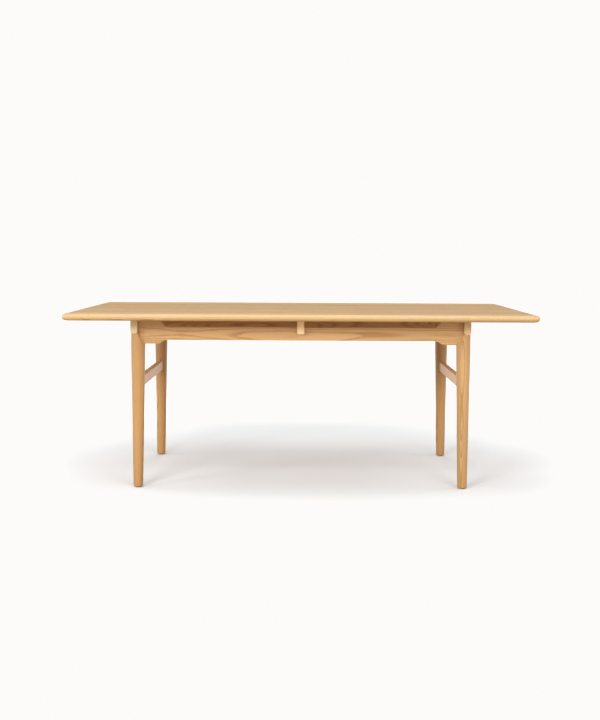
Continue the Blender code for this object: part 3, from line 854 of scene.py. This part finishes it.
LIGHTS_AIM = 0.5  # height over the middle of the floor that the lights face
LIGHTS = {
    # name: azimuth from the front towards the right, elevation, distance, width, height, power,
    # and whether it shows in reflections
    "key_low_left": (-55, 10, 5.0, 0.6, 0.6, 36, True),
    "front_left": (-25, 22, 5.0, 1.5, 1.2, 82, False),
    "front_right": (25, 22, 5.0, 1.5, 1.2, 38, False),
    "low_right": (50, 4, 5.0, 1.5, 1.2, 22, False),
    "side_left": (-90, 45, 5.0, 1.5, 1.2, 22, False),
    "side_right": (90, 45, 5.0, 1.5, 1.2, 20, False),
    "high_strip": (0, 50, 4.0, 4.4, 0.5, 26, True),
    "overhead": (0, 82, 2.5, 2.6, 1.2, 9, True),
    "back_high": (180, 50, 5.0, 1.5, 1.2, 20, False),
}


def area_light(name, azimuth, elevation, distance, width, height, power, in_reflections):
    """A soft box that faces the middle of the table and may be left out of reflections."""
    data = bpy.data.lights.new(name, "AREA")
    data.shape = "RECTANGLE"
    data.size = width
    data.size_y = height
    data.energy = power
    obj = bpy.data.objects.new(name, data)
    a, e = math.radians(azimuth), math.radians(elevation)
    away = Vector((math.sin(a) * math.cos(e), -math.cos(a) * math.cos(e), math.sin(e)))
    obj.location = away * distance + Vector((0, 0, LIGHTS_AIM))
    obj.rotation_euler = away.to_track_quat("Z", "Y").to_euler()
    obj.visible_glossy = in_reflections
    bpy.context.scene.collection.objects.link(obj)


def floor_paint():
    """Matt white, but darker for the light that it throws back at the table and in reflections.
    Far from the table it glows a little, a painted glow that makes it as bright as a studio's sweep."""
    paint, g = blank_material("floor_paint")
    path = g.node("ShaderNodeLightPath").outputs
    seen, glossy = path["Is Camera Ray"], path["Is Glossy Ray"]
    colour = g.mix(seen, g.mix(glossy, FLOOR_BOUNCE, FLOOR_GLOSS), FLOOR_WHITE)
    matt = g.node("ShaderNodeBsdfDiffuse", {"Color": colour})

    place = g.node("ShaderNodeTexCoord").outputs["Object"]
    away = g.node("ShaderNodeVectorMath", {0: place}, operation="LENGTH").outputs["Value"]
    depth = g.node("ShaderNodeSeparateXYZ", {0: place}).outputs["Y"]
    behind = g.math("MULTIPLY", g.ramp(depth, -FAR_FROM, FAR_FROM), FAR_GLOSS)
    share = g.math("MULTIPLY", glossy, behind)
    share = g.math("MULTIPLY_ADD", path["Is Diffuse Ray"], FAR_BOUNCE, share)
    share = g.math("MULTIPLY_ADD", seen, FAR_GLOW, share)
    far = g.math("MULTIPLY", g.ramp(away, FAR_FROM, FAR_TO), share)
    glow = g.node("ShaderNodeEmission", {"Strength": far})
    both = g.node("ShaderNodeAddShader", {0: matt.outputs[0], 1: glow.outputs[0]})
    g.node("ShaderNodeOutputMaterial", {"Surface": both.outputs[0]})
    return paint


def studio_world():
    """White all round for the camera, dimmer as the light of the room, and in reflections a grey
    wall behind the table and a dark room in front of it."""
    world = bpy.data.worlds.new("studio")
    world.use_nodes = True
    world.node_tree.nodes.clear()
    g = Graph(world.node_tree)
    path = g.node("ShaderNodeLightPath").outputs
    direction = g.node("ShaderNodeTexCoord").outputs["Generated"]
    depth = g.node("ShaderNodeSeparateXYZ", {0: direction}).outputs["Y"]
    mirrored = g.math("MULTIPLY", g.ramp(depth, -DARK_SIDE, DARK_SIDE), WALL_GLOSS)
    unseen = g.mix_numbers(path["Is Glossy Ray"], ROOM_LIGHT, mirrored)
    strength = g.mix_numbers(path["Is Camera Ray"], unseen, WALL_WHITE)
    wall = g.node("ShaderNodeBackground", {"Color": (1, 1, 1, 1), "Strength": strength})
    g.node("ShaderNodeOutputWorld", {"Surface": wall.outputs[0]})
    return world


def cream_white(view):
    """Everything as bright as the floor or brighter comes out in the same warm white."""
    view.view_transform = "Standard"
    view.use_curve_mapping = True
    view.curve_mapping.extend = "HORIZONTAL"
    for curve, white in zip(view.curve_mapping.curves, PRINT_WHITE):
        curve.points[-1].location = (1, white)
    view.curve_mapping.update()


def make_studio():
    for name, values in LIGHTS.items():
        area_light(name, *values)
    bpy.context.scene.world = studio_world()
    cream_white(bpy.context.scene.view_settings)

    bm = bmesh.new()
    signs = ((-1, -1), (1, -1), (1, 1), (-1, 1))
    bm.faces.new([bm.verts.new((x * FLOOR_HALF, y * FLOOR_HALF, 0)) for x, y in signs])
    floor = new_object("floor", bm)
    floor.data.materials.append(floor_paint())


CAMERA_LENS = 50.46  # millimetres, on a sensor 36 mm across
CAMERA_SENSOR = 36
CAMERA_SHIFT_Y = -0.102
CAMERA_PLACE = (0.01496, -4.45196, 0.9717)
CAMERA_TURNS = ((0.261, "Z"), (-2.016, "X"), (-0.262, "Y"), (90, "X"))  # degrees, outermost first


def make_camera():
    """The photograph's camera: a little above the top, square to the table's long side."""
    data = bpy.data.cameras.new("camera")
    data.lens = CAMERA_LENS
    data.sensor_width = CAMERA_SENSOR
    data.shift_y = CAMERA_SHIFT_Y
    camera = bpy.data.objects.new("camera", data)
    place = Matrix.Translation(CAMERA_PLACE)
    for degrees, axis in CAMERA_TURNS:
        place = place @ Matrix.Rotation(math.radians(degrees), 4, axis)
    camera.matrix_world = place
    bpy.context.scene.collection.objects.link(camera)
    bpy.context.scene.camera = camera


def main():
    figure = wood_figure()
    make_top(figure)
    make_legs(figure)
    make_rails(figure)
    make_crossbars(figure)
    make_stretchers(figure)
    make_hardware()
    make_studio()
    make_camera()


main()
